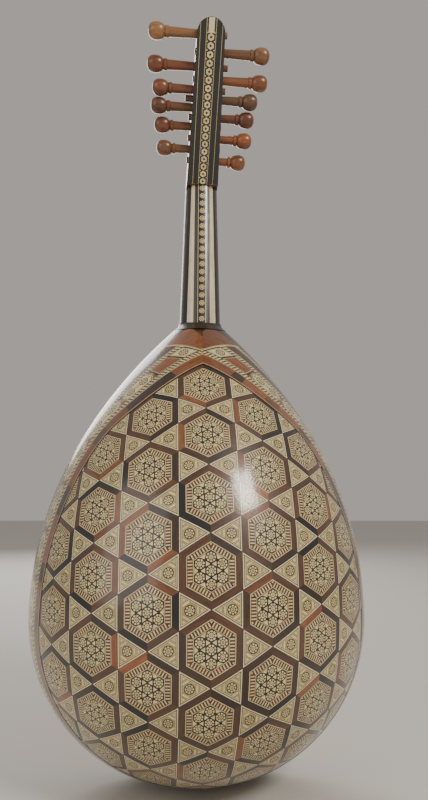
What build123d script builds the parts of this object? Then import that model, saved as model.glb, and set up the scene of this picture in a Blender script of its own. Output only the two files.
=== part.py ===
"""Twelve-string oud with a half-round mosaic back, a bent-back pegbox and friction pegs.

Millimetres. The origin is the foot of the bowl, in the plane of the rim. +Z runs up the neck, the soundboard
faces -Y and the bowl's back bulges towards +Y. The bowl and the neck are half bodies of revolution about Z.
"""

from build123d import *
from math import cos, radians, sin
import os

# Bowl: radius and sweep of each arc of its half outline, from the foot to the throat
OUTLINE_ARCS = ((220.0, 17.0), (174.5, 72.6), (384.0, 31.5), (604.0, 15.8))
THROAT_OVERRUN = 8.0  # extra sweep in degrees, so that inset outlines still reach the throat
MOSAIC_THICKNESS = 1.0
GLUE_LINE = 0.1
RIB_COUNT = 9
RIB_THICKNESS = 2.6
LINING_WIDTH = 4.2
LINING_HEIGHT = 13.0
LINING_FOOT_GAP = 14.0
LINING_NECK_GAP = 4.0
RIM_BAND_WIDTH = 89.0  # depth of the border behind the rim
TOP_BAND_HEIGHT = 58.3  # how far it reaches down from the throat
FOOT_BLOCK_HEIGHT = 26.0
FOOT_BLOCK_WIDTH = 130.0
NECK_BLOCK_HEIGHT = 62.0

# Soundboard
BOARD_THICKNESS = 2.2
BINDING_WIDTH = 5.0
MAIN_HOLE_HEIGHT = 300.0
MAIN_HOLE_RADIUS = 46.0
SMALL_HOLE_HEIGHT = 206.0
SMALL_HOLE_OFFSET = 64.0
SMALL_HOLE_RADIUS = 23.0
RING_WIDTH = 8.0
ROSETTE_THICKNESS = 1.6
ROSETTE_CLEARANCE = 0.25
BRACE_HEIGHTS = (62.0, 128.0, 164.0, 240.0, 361.0, 400.0, 436.0)
BRACE_WIDTH = 6.0
BRACE_DEPTH = 14.0
BRIDGE_HEIGHT = 100.0  # of the string holes' row above the foot
BRIDGE_LENGTH = 122.0
BRIDGE_WIDTH = 15.0
BRIDGE_DEPTH = 9.0
BRIDGE_TIP_DEPTH = 2.5
BRIDGE_SHOULDER = 13.0
BRIDGE_ROUNDING = 3.0
PICKGUARD_BOTTOM = 132.0
PICKGUARD_LENGTH = 104.0
PICKGUARD_WIDTH = 62.0
PICKGUARD_THICKNESS = 0.6

# Neck
NECK_LENGTH = 185.0  # from the throat to the nut's string line
NECK_RADIUS_HEEL = 24.8
NECK_RADIUS_NUT = 19.7
VENEER_THICKNESS = 1.0
JOINT_TILT = 10.0  # the body joint leans, lower at the back
COLLAR_BOTTOM = 2.3  # below the throat, in the rim plane
COLLAR_HEIGHT = 9.0
COLLAR_PROUD = 1.2
COLLAR_FLARE = 0.6  # further out at its waist
COLLAR_STEP = 0.4  # proud of the bowl where they meet
COLLAR_FLARE_START = 0.93  # along the bowl's last arc
NUT_WIDTH = 5.6
NUT_RISE = 3.6

# Strips of the neck veneer: outer edge at the heel and at the nut, measured across from the centre line
MOSAIC_STRIP = (5.4, 5.2)
INNER_EBONY_STRIP = (10.0, 9.0)
BONE_STRIP = (17.4, 13.0)
OUTER_EBONY_STRIP = (20.8, 16.2)

# Pegbox, in its own frame: X across, Y through it towards the back, Z along it from the nut
PEGBOX_TILT = 40.0
PEGBOX_LENGTH = 187.0
PEGBOX_HALF_WIDTH = (19.5, 15.2)  # at the nut and at the tip
PEGBOX_BACK = (20.0, 15.0)
PEGBOX_FRONT = 2.5
CHEEK_THICKNESS = 5.4
BACK_THICKNESS = 3.0
INLAY_THICKNESS = 0.8
CHANNEL_START = 5.0
HEEL_FRONT = 1.2  # the heel block stays clear of the strings
CHANNEL_END = 176.0

# Pegs, from the nut upwards: place along the pegbox, how far the knob's middle stands off the cheek, how far
# the thin end stands out of the other cheek
LEFT_PEGS = (
    (46.8, 30, 1.0),
    (72.4, 34, 1.0),
    (93.2, 39, 0.6),
    (112.4, 38, 4.0),
    (136.3, 45, 5.5),
    (169.0, 45, 3.2),
)
RIGHT_PEGS = (
    (34.2, 24, 2.0),
    (59.6, 30, 2.5),
    (83.0, 31, 3.0),
    (102.8, 34, 8.5),
    (123.4, 44, 1.2),
    (151.6, 44, 1.0),
)
PEG_RADIUS = 4.7  # where it enters the near cheek
PEG_TAPER = 0.026
PEG_CLEARANCE = 0.06
PEG_DEPTH = (9.2, 0.031)  # of the peg's axis at the nut, and its loss per millimetre along the pegbox
KNOB_RADIUS = 9.3
KNOB_LENGTH = 18.4
PEG_RING_RADIUS = 6.4
PEG_RING_LENGTH = 4.8
PEG_CHAMFER = 0.8
WINDING_BUILD = 0.7
WINDING_LENGTH = 5.0

# Strings: six double courses
COURSE_RADII = (0.55, 0.5, 0.45, 0.4, 0.36, 0.32)
COURSE_SPACING_BRIDGE = 14.4
COURSE_SPACING_NUT = 5.0
PAIR_SPACING_BRIDGE = 3.4
PAIR_SPACING_NUT = 1.7
STRING_HEIGHT_BRIDGE = 8.4
STRING_HEIGHT_NUT = 3.5
STRING_HOLE_CLEARANCE = 0.25
STRING_GAP = 0.35
KNOT_RADIUS = 1.3

HALF_TURN = 180.0
FAR = 600.0


def outline_arcs(inset, overrun=0.0):
    """The arcs of half the bowl's outline, moved inwards by the inset, from the foot to the throat."""
    arcs = []
    point = Vector(0, inset)
    heading = Vector(1, 0)
    for number, (radius, sweep) in enumerate(OUTLINE_ARCS):
        extra = overrun if number == len(OUTLINE_ARCS) - 1 else 0.0
        arc = JernArc(start=point, tangent=heading, radius=radius - inset, arc_size=sweep + extra)
        point = arc @ 1
        heading = arc % 1
        arcs.append(arc)
    return arcs


THROAT = outline_arcs(0)[-1] @ 1
BODY_LENGTH = THROAT.Y
NUT_LINE = BODY_LENGTH + NECK_LENGTH
NECK_TOP = NUT_LINE - NUT_WIDTH


def half_face(inset, top=BODY_LENGTH):
    """Half of the outline's inside as a flat face, cut straight across at the top."""
    arcs = outline_arcs(inset, THROAT_OVERRUN)
    start = arcs[0] @ 0
    end = arcs[-1] @ 1
    axis_end = Vector(0, end.Y)
    edges = arcs + [Line(end, axis_end), Line(axis_end, start)]
    face = make_face(edges)
    return face & Pos(0, top - FAR) * Rectangle(FAR, 2 * FAR)


def full_face(inset, top=BODY_LENGTH):
    half = half_face(inset, top)
    return half + mirror(half, Plane.YZ)


def shell_face(outer_inset, inner_inset, top=BODY_LENGTH):
    return half_face(outer_inset, top) - half_face(inner_inset, top)


def half_round(face, start=0.0, sweep=HALF_TURN):
    """The face turned about Z: 0 degrees is the +X edge of the rim and 180 the -X edge."""
    return Rot(0, 0, start) * revolve(Plane.XZ * face, Axis.Z, sweep)


def block(x_range, y_range, z_range):
    low = Vector(min(x_range), min(y_range), min(z_range))
    high = Vector(max(x_range), max(y_range), max(z_range))
    size = high - low
    middle = (low + high) * 0.5
    return Pos(middle) * Box(size.X, size.Y, size.Z)


def joint_plane(height):
    """The leaning plane across the throat, at this height in the rim plane, facing up."""
    return Plane(origin=(0, 0, height), z_dir=(0, sin(radians(JOINT_TILT)), cos(radians(JOINT_TILT))))


def below(solid, plane):
    return split(solid, bisect_by=plane, keep=Keep.BOTTOM)


def above(solid, plane):
    return split(solid, bisect_by=plane, keep=Keep.TOP)


BODY_JOINT = joint_plane(BODY_LENGTH - COLLAR_BOTTOM)
HEEL_JOINT = joint_plane(BODY_LENGTH - COLLAR_BOTTOM + COLLAR_HEIGHT)


# The bowl


def bowl_rib(number):
    outer = MOSAIC_THICKNESS + GLUE_LINE
    sweep = HALF_TURN / RIB_COUNT
    rib = half_round(shell_face(outer, outer + RIB_THICKNESS), number * sweep, sweep)
    return below(rib, BODY_JOINT)


INSIDE_RIBS = MOSAIC_THICKNESS + 2 * GLUE_LINE + RIB_THICKNESS


def rim_linings():
    """A strip along each side, inside the ribs, that the soundboard is glued to."""
    inner = half_round(shell_face(INSIDE_RIBS, INSIDE_RIBS + LINING_WIDTH))
    low = FOOT_BLOCK_HEIGHT + LINING_FOOT_GAP
    high = BODY_LENGTH - NECK_BLOCK_HEIGHT - LINING_NECK_GAP
    strip = inner & block((0, FAR), (GLUE_LINE, LINING_HEIGHT), (low, high))
    return strip + mirror(strip, Plane.YZ)


def foot_block():
    inside = half_round(half_face(INSIDE_RIBS))
    half = FOOT_BLOCK_WIDTH / 2
    return inside & block((-half, half), (GLUE_LINE, half), (0, FOOT_BLOCK_HEIGHT))


def neck_block():
    inside = half_round(half_face(INSIDE_RIBS))
    plug = inside & block((-FAR, FAR), (GLUE_LINE, FAR), (BODY_LENGTH - NECK_BLOCK_HEIGHT, BODY_LENGTH))
    return below(plug, BODY_JOINT)


def mosaic_skin():
    return below(half_round(shell_face(0, MOSAIC_THICKNESS)), BODY_JOINT)


def field_space():
    top = BODY_LENGTH - TOP_BAND_HEIGHT
    return block((-FAR, FAR), (RIM_BAND_WIDTH, FAR), (-1, top))


def mosaic_field():
    return mosaic_skin() & field_space()


def rim_band():
    return mosaic_skin() - field_space()


# The soundboard


def plate(face, back, thickness):
    """A flat face in X and Z made into a plate that reaches from y = back towards -Y."""
    return Pos(0, back, 0) * extrude(Plane.XZ * face, thickness, dir=(0, -1, 0))


def hole_circles(extra=0.0):
    """The sound holes: one large, two small."""
    main = Pos(0, MAIN_HOLE_HEIGHT) * Circle(MAIN_HOLE_RADIUS + extra)
    small = Circle(SMALL_HOLE_RADIUS + extra)
    places = [Pos(side * SMALL_HOLE_OFFSET, SMALL_HOLE_HEIGHT) for side in (-1, 1)]
    return main, [place * small for place in places]


def soundboard():
    main, small = hole_circles(RING_WIDTH)
    face = full_face(BINDING_WIDTH) - main - small[0] - small[1]
    return plate(face, 0, BOARD_THICKNESS)


def edge_binding():
    face = full_face(0) - full_face(BINDING_WIDTH)
    return plate(face, 0, BOARD_THICKNESS)


def sound_hole_rings():
    main_out, small_out = hole_circles(RING_WIDTH)
    main_in, small_in = hole_circles()
    rings = [main_out - main_in, small_out[0] - small_in[0], small_out[1] - small_in[1]]
    return Compound(children=[plate(ring, 0, BOARD_THICKNESS) for ring in rings])


def rosette_face(radius):
    """A pierced disc: an eight-fold star inside two rings of openings."""
    face = Circle(radius)
    centre_hole = radius * 0.09
    face -= Circle(centre_hole)
    for step in range(8):
        angle = 45.0 * step
        petal = Polygon((0.16, 0), (0.30, 0.075), (0.47, 0), (0.30, -0.075), align=None)
        face -= Rot(0, 0, angle) * scale(petal, radius)
        eye = Pos(0.62 * radius, 0) * Circle(0.115 * radius)
        face -= Rot(0, 0, angle + 22.5) * eye
        arrow = Polygon((0.56, 0), (0.75, 0.10), (0.75, -0.10), align=None)
        face -= Rot(0, 0, angle) * scale(arrow, radius)
    for step in range(24):
        bead = Pos(0.87 * radius, 0) * Circle(0.055 * radius)
        face -= Rot(0, 0, 15.0 * step) * bead
    return face


def rosette(x, height, radius):
    """A carved rosette that fits its sound hole."""
    return plate(Pos(x, height) * rosette_face(radius - ROSETTE_CLEARANCE), -0.2, ROSETTE_THICKNESS)


def brace(height):
    half = BRACE_WIDTH / 2
    inside = half_round(half_face(INSIDE_RIBS + LINING_WIDTH + GLUE_LINE))
    return inside & block((-FAR, FAR), (GLUE_LINE, BRACE_DEPTH), (height - half, height + half))


def pickguard():
    """A leaf shape, pointed towards the neck, in front of the bridge."""
    low = Vector(0, PICKGUARD_BOTTOM)
    high = Vector(0, PICKGUARD_BOTTOM + PICKGUARD_LENGTH)
    side = Vector(PICKGUARD_WIDTH / 2, PICKGUARD_BOTTOM + PICKGUARD_LENGTH * 0.36)
    belly = Spline(low, side, high, tangents=((1, 0.1), (-0.45, 1)))
    half = make_face([belly, Line(high, low)])
    return plate(half + mirror(half, Plane.YZ), -BOARD_THICKNESS, PICKGUARD_THICKNESS)


def string_places(course, pair):
    """X of one string at the bridge and at the nut. Course 0 is the lowest, on the +X side."""
    step = 2.5 - course
    offset = 0.5 if pair == 0 else -0.5
    at_bridge = step * COURSE_SPACING_BRIDGE + offset * PAIR_SPACING_BRIDGE
    at_nut = step * COURSE_SPACING_NUT + offset * PAIR_SPACING_NUT
    return at_bridge, at_nut


def bridge():
    """A low bar with sloping shoulders; the strings pass through a row of holes and are tied behind it."""
    base = -BOARD_THICKNESS
    half_length = BRIDGE_LENGTH / 2
    half_width = BRIDGE_WIDTH / 2
    profile = Polygon(
        (-half_length, base),
        (half_length, base),
        (half_length, base - BRIDGE_TIP_DEPTH),
        (half_length - BRIDGE_SHOULDER, base - BRIDGE_DEPTH),
        (BRIDGE_SHOULDER - half_length, base - BRIDGE_DEPTH),
        (-half_length, base - BRIDGE_TIP_DEPTH),
        align=None,
    )
    bar = Pos(0, 0, BRIDGE_HEIGHT - half_width) * extrude(profile, BRIDGE_WIDTH, dir=(0, 0, 1))
    front_edges = bar.edges().filter_by(Axis.X).sort_by(Axis.Y)[:2]
    bar = fillet(front_edges, BRIDGE_ROUNDING)
    for course, radius in enumerate(COURSE_RADII):
        for pair in range(2):
            x = string_places(course, pair)[0]
            hole = Cylinder(radius + STRING_HOLE_CLEARANCE, 3 * BRIDGE_WIDTH)
            bar -= Pos(x, -STRING_HEIGHT_BRIDGE, BRIDGE_HEIGHT) * hole
    return bar


# The neck


def neck_radius(height):
    share = (height - BODY_LENGTH) / NECK_LENGTH
    return NECK_RADIUS_HEEL + share * (NECK_RADIUS_NUT - NECK_RADIUS_HEEL)


def neck_face(inset):
    """Half section of the tapering neck, with some length to spare at the heel."""
    low = BODY_LENGTH - 30
    return Polygon((0, low), (neck_radius(low) - inset, low), (neck_radius(NECK_TOP) - inset, NECK_TOP),
                   (0, NECK_TOP), align=None)


def neck_core():
    core = above(half_round(neck_face(VENEER_THICKNESS + GLUE_LINE)), BODY_JOINT)
    return core & block((-FAR, FAR), (GLUE_LINE, FAR), (0, NECK_TOP))


def strip_space(edges):
    """Everything within this distance of the centre line: a wedge that narrows from the heel to the nut."""
    heel, nut = edges
    slope = (nut - heel) / NECK_LENGTH
    low = BODY_LENGTH - 30
    high = NUT_LINE + 10
    half_low = heel + slope * (low - BODY_LENGTH)
    half_high = heel + slope * (high - BODY_LENGTH)
    wedge = Polygon((-half_low, low), (half_low, low), (half_high, high), (-half_high, high), align=None)
    return extrude(Plane.XZ * wedge, -FAR)


def neck_veneer():
    shell = half_round(neck_face(0) - neck_face(VENEER_THICKNESS))
    return above(shell, HEEL_JOINT)


def neck_strip(inner, outer):
    """The part of the neck's veneer between two distances from the centre line; None is no limit."""
    strip = neck_veneer()
    if outer is not None:
        strip = strip & strip_space(outer)
    if inner is not None:
        strip = strip - strip_space(inner)
    return strip


def neck_ebony():
    """Two dark strips on each side, inside and outside the bone."""
    inner = neck_strip(MOSAIC_STRIP, INNER_EBONY_STRIP)
    outer = neck_strip(BONE_STRIP, OUTER_EBONY_STRIP)
    return Compound(children=inner.solids() + outer.solids())


def collar():
    """A dark ring round the heel, flaring out to meet the bowl."""
    low = BODY_LENGTH - 16
    high = BODY_LENGTH + 12
    arc = outline_arcs(-COLLAR_STEP)[-1]
    foot = arc @ COLLAR_FLARE_START
    waist = Vector(NECK_RADIUS_HEEL + COLLAR_PROUD + COLLAR_FLARE, BODY_LENGTH + COLLAR_HEIGHT / 3)
    top = Vector(NECK_RADIUS_HEEL + COLLAR_PROUD, high)
    flare = Spline(foot, waist, top, tangents=(arc % COLLAR_FLARE_START, (0, 1)))
    bore_low = neck_radius(low) - VENEER_THICKNESS
    bore_high = neck_radius(high) - VENEER_THICKNESS
    inside = Polyline(top, (bore_high, high), (bore_low, foot.Y), foot)
    ring = half_round(make_face(flare.edges() + inside.edges()))
    return below(above(ring, BODY_JOINT), HEEL_JOINT)


def fingerboard():
    low = BODY_LENGTH
    profile = Polygon((-neck_radius(low), low), (neck_radius(low), low), (neck_radius(NECK_TOP), NECK_TOP),
                      (-neck_radius(NECK_TOP), NECK_TOP), align=None)
    return plate(profile, 0, BOARD_THICKNESS)


def nut():
    """A bone saddle with a shallow slot for each string."""
    half = NECK_RADIUS_NUT - 0.3
    saddle = block((-half, half), (-NUT_RISE, 0), (NECK_TOP, NUT_LINE))
    front_edges = saddle.edges().filter_by(Axis.X).sort_by(Axis.Y)[:2]
    saddle = fillet(front_edges, 1.0)
    for course, radius in enumerate(COURSE_RADII):
        for pair in range(2):
            x = string_places(course, pair)[1]
            slot = Cylinder(radius + 0.1, 3 * NUT_WIDTH)
            saddle -= Pos(x, -STRING_HEIGHT_NUT, NUT_LINE - NUT_WIDTH / 2) * slot
    return saddle


# The pegbox

PEGBOX_PLACE = Location((0, 0, NUT_LINE), (-PEGBOX_TILT, 0, 0))
NECK_END = Plane(origin=(0, 0, NECK_TOP), z_dir=(0, 0, 1))
HEEL_ALLOWANCE = 30.0  # length below the nut line that the neck's end plane cuts away


def along(values, place):
    """A width or depth that changes evenly from the nut to the tip."""
    return values[0] + (values[1] - values[0]) * place / PEGBOX_LENGTH


def side_block(front, back_offset):
    """The pegbox seen from the side, between its front and a line inside its back, as wide as may be."""
    low = -HEEL_ALLOWANCE
    profile = Polygon(
        (front, low),
        (along(PEGBOX_BACK, low) - back_offset, low),
        (along(PEGBOX_BACK, PEGBOX_LENGTH) - back_offset, PEGBOX_LENGTH),
        (front, PEGBOX_LENGTH),
        align=None,
    )
    return extrude(Plane.YZ * profile, 50, both=True)


def plan_face(inset, low=-HEEL_ALLOWANCE, high=PEGBOX_LENGTH, rounded=True):
    """The pegbox seen from the back, in X and Z, with a round tip."""
    half_low = along(PEGBOX_HALF_WIDTH, low) - inset
    half_high = along(PEGBOX_HALF_WIDTH, high) - inset
    face = Polygon((-half_low, low), (half_low, low), (half_high, high), (-half_high, high), align=None)
    if rounded:
        tip_radius = along(PEGBOX_HALF_WIDTH, PEGBOX_LENGTH - PEGBOX_HALF_WIDTH[1])
        centre = PEGBOX_LENGTH - tip_radius
        body = Rectangle(4 * tip_radius, centre + HEEL_ALLOWANCE, align=(Align.CENTER, Align.MIN))
        face = face & (Pos(0, centre) * Circle(tip_radius) + Pos(0, low) * body)
    return face


def plan_block(face):
    return extrude(Plane.XZ * face, 60, both=True)


def seated(solid):
    """Turned to the pegbox's slope, cut off at the neck's end and cleared for the nut."""
    placed = above(PEGBOX_PLACE * solid, NECK_END)
    return placed - block((-30, 30), (-12, 0), (NECK_TOP - 1, NUT_LINE))


def channel_space():
    return plan_block(plan_face(CHEEK_THICKNESS, rounded=False))


def peg_depth(place):
    return PEG_DEPTH[0] - PEG_DEPTH[1] * place


def peg_cone(place, side, clearance):
    """A peg's tapered length from outside its own cheek to past the other one."""
    half = along(PEGBOX_HALF_WIDTH, place)
    near = half + 8
    far = -half - 12
    near_radius = PEG_RADIUS + PEG_TAPER * 8 + clearance
    far_radius = PEG_RADIUS - PEG_TAPER * (half - far) + clearance
    profile = Polygon((far, 0), (near, 0), (near, near_radius), (far, far_radius), align=None)
    cone = revolve(profile, Axis.X)
    if side < 0:
        cone = mirror(cone, Plane.YZ)
    return Pos(0, peg_depth(place), place) * cone


def all_pegs():
    """Every peg as its name, side, place, knob distance and tip length."""
    pegs = [(f"peg_left_{number}", 1, *peg) for number, peg in enumerate(LEFT_PEGS, 1)]
    return pegs + [(f"peg_right_{number}", -1, *peg) for number, peg in enumerate(RIGHT_PEGS, 1)]


def cheek(side):
    """One side wall of the pegbox, with its tapered peg holes."""
    wall = side_block(-PEGBOX_FRONT, BACK_THICKNESS + INLAY_THICKNESS)
    wall = wall & plan_block(plan_face(0) - plan_face(CHEEK_THICKNESS, rounded=False))
    wall = wall & block((0, side * 60), (-60, 60), (-HEEL_ALLOWANCE, CHANNEL_END))
    for _, peg_side, place, _, _ in all_pegs():
        wall -= peg_cone(place, peg_side, PEG_CLEARANCE)
    return seated(wall)


def pegbox_heel():
    core = side_block(HEEL_FRONT, BACK_THICKNESS + INLAY_THICKNESS) & channel_space()
    return seated(core & block((-60, 60), (-60, 60), (-HEEL_ALLOWANCE, CHANNEL_START)))


def pegbox_cap():
    """The rounded block that closes the tip."""
    core = side_block(-PEGBOX_FRONT, BACK_THICKNESS + INLAY_THICKNESS) & plan_block(plan_face(0))
    return seated(core & block((-60, 60), (-60, 60), (CHANNEL_END, PEGBOX_LENGTH + 1)))


def pegbox_back():
    wall = side_block(-PEGBOX_FRONT, INLAY_THICKNESS) - side_block(-60, BACK_THICKNESS + INLAY_THICKNESS)
    return seated(wall & plan_block(plan_face(0)))


def pegbox_inlay():
    wall = side_block(-PEGBOX_FRONT, 0) - side_block(-60, INLAY_THICKNESS)
    return seated(wall & plan_block(plan_face(0)))


# The pegs and strings


def peg_shaft_radius(place, x):
    """Radius of a peg at a distance x from the pegbox's centre plane, positive towards its knob."""
    return PEG_RADIUS + PEG_TAPER * (x - along(PEGBOX_HALF_WIDTH, place))


def peg(side, place, reach, tip):
    """Turned from one piece: round knob, ring and tapered shaft."""
    half = along(PEGBOX_HALF_WIDTH, place)
    knob = half + reach
    knob_low = knob - KNOB_LENGTH / 2
    knob_high = knob + KNOB_LENGTH / 2
    ring_low = knob_low - PEG_RING_LENGTH
    thin_end = -half - tip
    waist = peg_shaft_radius(place, knob_low)
    lathed = Polyline(
        (knob_high, 0),
        (thin_end, 0),
        (thin_end, peg_shaft_radius(place, thin_end)),
        (ring_low, peg_shaft_radius(place, ring_low)),
        (ring_low + PEG_CHAMFER, PEG_RING_RADIUS),
        (knob_low - PEG_CHAMFER, PEG_RING_RADIUS),
        (knob_low, waist),
    )
    near_dome = Spline((knob_low, waist), (knob, KNOB_RADIUS), tangents=((0.7, 1), (1, 0)))
    far_dome = Spline((knob, KNOB_RADIUS), (knob_high, 0), tangents=((1, 0), (0, -1)))
    edges = lathed.edges() + near_dome.edges() + far_dome.edges()
    turned = revolve(make_face(edges), Axis.X)
    if side < 0:
        turned = mirror(turned, Plane.YZ)
    return PEGBOX_PLACE * Pos(0, peg_depth(place), place) * turned


def winding_radius(place):
    return PEG_RADIUS - 0.3 + WINDING_BUILD


def peg_winding(side, place, x):
    """The turns of string on a peg, as a sleeve round its shaft."""
    low = x - WINDING_LENGTH / 2
    high = x + WINDING_LENGTH / 2
    profile = Polygon(
        (low, peg_shaft_radius(place, side * low)),
        (high, peg_shaft_radius(place, side * high)),
        (high, winding_radius(place)),
        (low, winding_radius(place)),
        align=None,
    )
    return PEGBOX_PLACE * Pos(0, peg_depth(place), place) * revolve(profile, Axis.X)


def string_ends():
    """Each string's course, pair, peg and X on that peg: outer strings go to the nearer pegs of their side."""
    ends = {}
    for number in range(6):
        left = (number // 2, number % 2)
        right = (5 - number // 2, 1 - number % 2)
        place_left = LEFT_PEGS[number][0]
        place_right = RIGHT_PEGS[number][0]
        spread = 0.5 * WINDING_LENGTH + 0.4
        for key, side, place in ((left, 1, place_left), (right, -1, place_right)):
            room = along(PEGBOX_HALF_WIDTH, place) - CHEEK_THICKNESS - spread
            ends[key] = (side, place, side * (room - 0.55 * number))
    return ends


def rod(start, end, radius):
    """A straight round bar between two points."""
    run = end - start
    return Plane(origin=start, z_dir=run) * Cylinder(radius, run.length, align=(Align.CENTER, Align.CENTER, Align.MIN))


def string(course, pair):
    """One string from its knot behind the bridge, over the nut and down to its peg."""
    radius = COURSE_RADII[course]
    at_bridge, at_nut = string_places(course, pair)
    _, place, x_peg = string_ends()[(course, pair)]
    knot = Vector(at_bridge, -STRING_HEIGHT_BRIDGE, BRIDGE_HEIGHT - BRIDGE_WIDTH / 2 - KNOT_RADIUS - 0.1)
    tie = Vector(at_bridge, -STRING_HEIGHT_BRIDGE, BRIDGE_HEIGHT + BRIDGE_WIDTH / 2 + 0.5)
    crest = Vector(at_nut, -STRING_HEIGHT_NUT - 0.1, NUT_LINE - NUT_WIDTH / 2)
    off_nut = Vector(at_nut, -STRING_HEIGHT_NUT - 0.1, NUT_LINE + 0.6)
    stand_off = winding_radius(place) + radius + STRING_GAP
    end = (PEGBOX_PLACE * Pos(x_peg, peg_depth(place) - stand_off, place)).position
    line = Sphere(KNOT_RADIUS).moved(Pos(knot)) + rod(knot, tie, radius)
    for start, finish in ((tie, crest), (crest, off_nut), (off_nut, end)):
        line += Pos(start) * Sphere(radius) + rod(start, finish, radius)
    return line


def string_course(course):
    return Compound(children=[string(course, pair) for pair in range(2)])


def build():
    """Every node's name and its solids."""
    nodes = {f"bowl_rib_{number + 1}": bowl_rib(number) for number in range(RIB_COUNT)}
    nodes["rim_linings"] = rim_linings()
    nodes["foot_block"] = foot_block()
    nodes["neck_block"] = neck_block()
    nodes["mosaic_field"] = mosaic_field()
    nodes["rim_band"] = rim_band()
    nodes["soundboard"] = soundboard()
    nodes["edge_binding"] = edge_binding()
    nodes["sound_hole_rings"] = sound_hole_rings()
    nodes["main_rosette"] = rosette(0, MAIN_HOLE_HEIGHT, MAIN_HOLE_RADIUS)
    places = [side * SMALL_HOLE_OFFSET for side in (-1, 1)]
    small = [rosette(x, SMALL_HOLE_HEIGHT, SMALL_HOLE_RADIUS) for x in places]
    nodes["small_rosettes"] = Compound(children=small)
    for number, height in enumerate(BRACE_HEIGHTS, 1):
        nodes[f"brace_{number}"] = brace(height)
    nodes["pickguard"] = pickguard()
    nodes["bridge"] = bridge()
    nodes["collar"] = collar()
    nodes["neck_core"] = neck_core()
    nodes["neck_mosaic"] = neck_strip(None, MOSAIC_STRIP)
    nodes["neck_ebony"] = neck_ebony()
    nodes["neck_bone"] = neck_strip(INNER_EBONY_STRIP, BONE_STRIP)
    nodes["neck_edge_mosaic"] = neck_strip(OUTER_EBONY_STRIP, None)
    nodes["fingerboard"] = fingerboard()
    nodes["nut"] = nut()
    nodes["cheek_left"] = cheek(1)
    nodes["cheek_right"] = cheek(-1)
    nodes["pegbox_heel"] = pegbox_heel()
    nodes["pegbox_cap"] = pegbox_cap()
    nodes["pegbox_back"] = pegbox_back()
    nodes["pegbox_inlay"] = pegbox_inlay()
    ends = {(side, place): x for side, place, x in string_ends().values()}
    for name, side, place, reach, tip in all_pegs():
        winding = peg_winding(side, place, ends[(side, place)])
        nodes[name] = Compound(children=[peg(side, place, reach, tip), winding])
    for course in range(len(COURSE_RADII)):
        nodes[f"string_course_{course + 1}"] = string_course(course)
    return nodes


os.makedirs("parts", exist_ok=True)
for node_name, shape in build().items():
    export_step(shape, f"parts/{node_name}.step")
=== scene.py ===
"""Looks of a twelve-string oud with a mosaic back: chips, veneers, turned pegs, soundboard and strings."""

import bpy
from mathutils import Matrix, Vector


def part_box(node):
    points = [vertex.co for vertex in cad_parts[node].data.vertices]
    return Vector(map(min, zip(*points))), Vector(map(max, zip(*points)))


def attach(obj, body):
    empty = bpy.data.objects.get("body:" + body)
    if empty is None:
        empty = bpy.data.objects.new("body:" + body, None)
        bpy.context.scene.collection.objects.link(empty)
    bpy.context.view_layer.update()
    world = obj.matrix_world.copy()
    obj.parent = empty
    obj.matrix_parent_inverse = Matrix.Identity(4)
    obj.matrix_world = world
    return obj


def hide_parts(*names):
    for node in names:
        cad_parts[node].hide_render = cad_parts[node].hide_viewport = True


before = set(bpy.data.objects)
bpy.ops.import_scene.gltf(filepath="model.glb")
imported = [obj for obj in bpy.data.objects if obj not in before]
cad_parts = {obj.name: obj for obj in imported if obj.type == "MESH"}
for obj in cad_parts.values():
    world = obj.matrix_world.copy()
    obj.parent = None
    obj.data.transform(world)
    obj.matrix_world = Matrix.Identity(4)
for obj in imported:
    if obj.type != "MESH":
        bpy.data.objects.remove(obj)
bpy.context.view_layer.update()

import math
import random

import bmesh
import bpy
import numpy as np
from mathutils import Matrix, Vector
from mathutils.geometry import delaunay_2d_cdt

MM = 0.001

# ---------------------------------------------------------------- the mosaic's surface, in millimetres

OUTLINE_ARCS = ((220.0, 17.0), (174.5, 72.6), (384.0, 31.5), (604.0, 15.8))
BORDER_DEPTH = 89.0
NECK_LENGTH = 185.0
NECK_RADII = (24.8, 19.7)
JOINT_TILT = math.radians(10.0)
COLLAR_BOTTOM = 2.3
PEGBOX_TILT = math.radians(40.0)
PEGBOX_LENGTH = 187.0
PEGBOX_HALF_WIDTH = (19.5, 15.2)
PEGBOX_BACK = (20.0, 15.0)


def profile_arcs():
    """Each arc of the bowl's half outline as its centre (across, up), radius and headings."""
    arcs = []
    across, up, heading = 0.0, 0.0, 0.0
    for radius, sweep in OUTLINE_ARCS:
        centre = (across - radius * math.sin(heading), up + radius * math.cos(heading))
        end = heading + math.radians(sweep)
        arcs.append((centre, radius, heading, end))
        across = centre[0] + radius * math.sin(end)
        up = centre[1] - radius * math.cos(end)
        heading = end
    return arcs, (across, up)


ARCS, THROAT = profile_arcs()
BODY_LENGTH = THROAT[1]
NUT_LINE = BODY_LENGTH + NECK_LENGTH


def profile_points(count=400, overrun=0.08):
    """The half outline as (across, up) points, with a little more beyond the throat."""
    points = []
    for number, (centre, radius, start, end) in enumerate(ARCS):
        if number == len(ARCS) - 1:
            end += overrun
        for angle in np.linspace(start, end, count, endpoint=number == len(ARCS) - 1):
            points.append((centre[0] + radius * math.sin(angle), centre[1] - radius * math.cos(angle)))
    return np.array(points)


PROFILE = profile_points()


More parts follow.
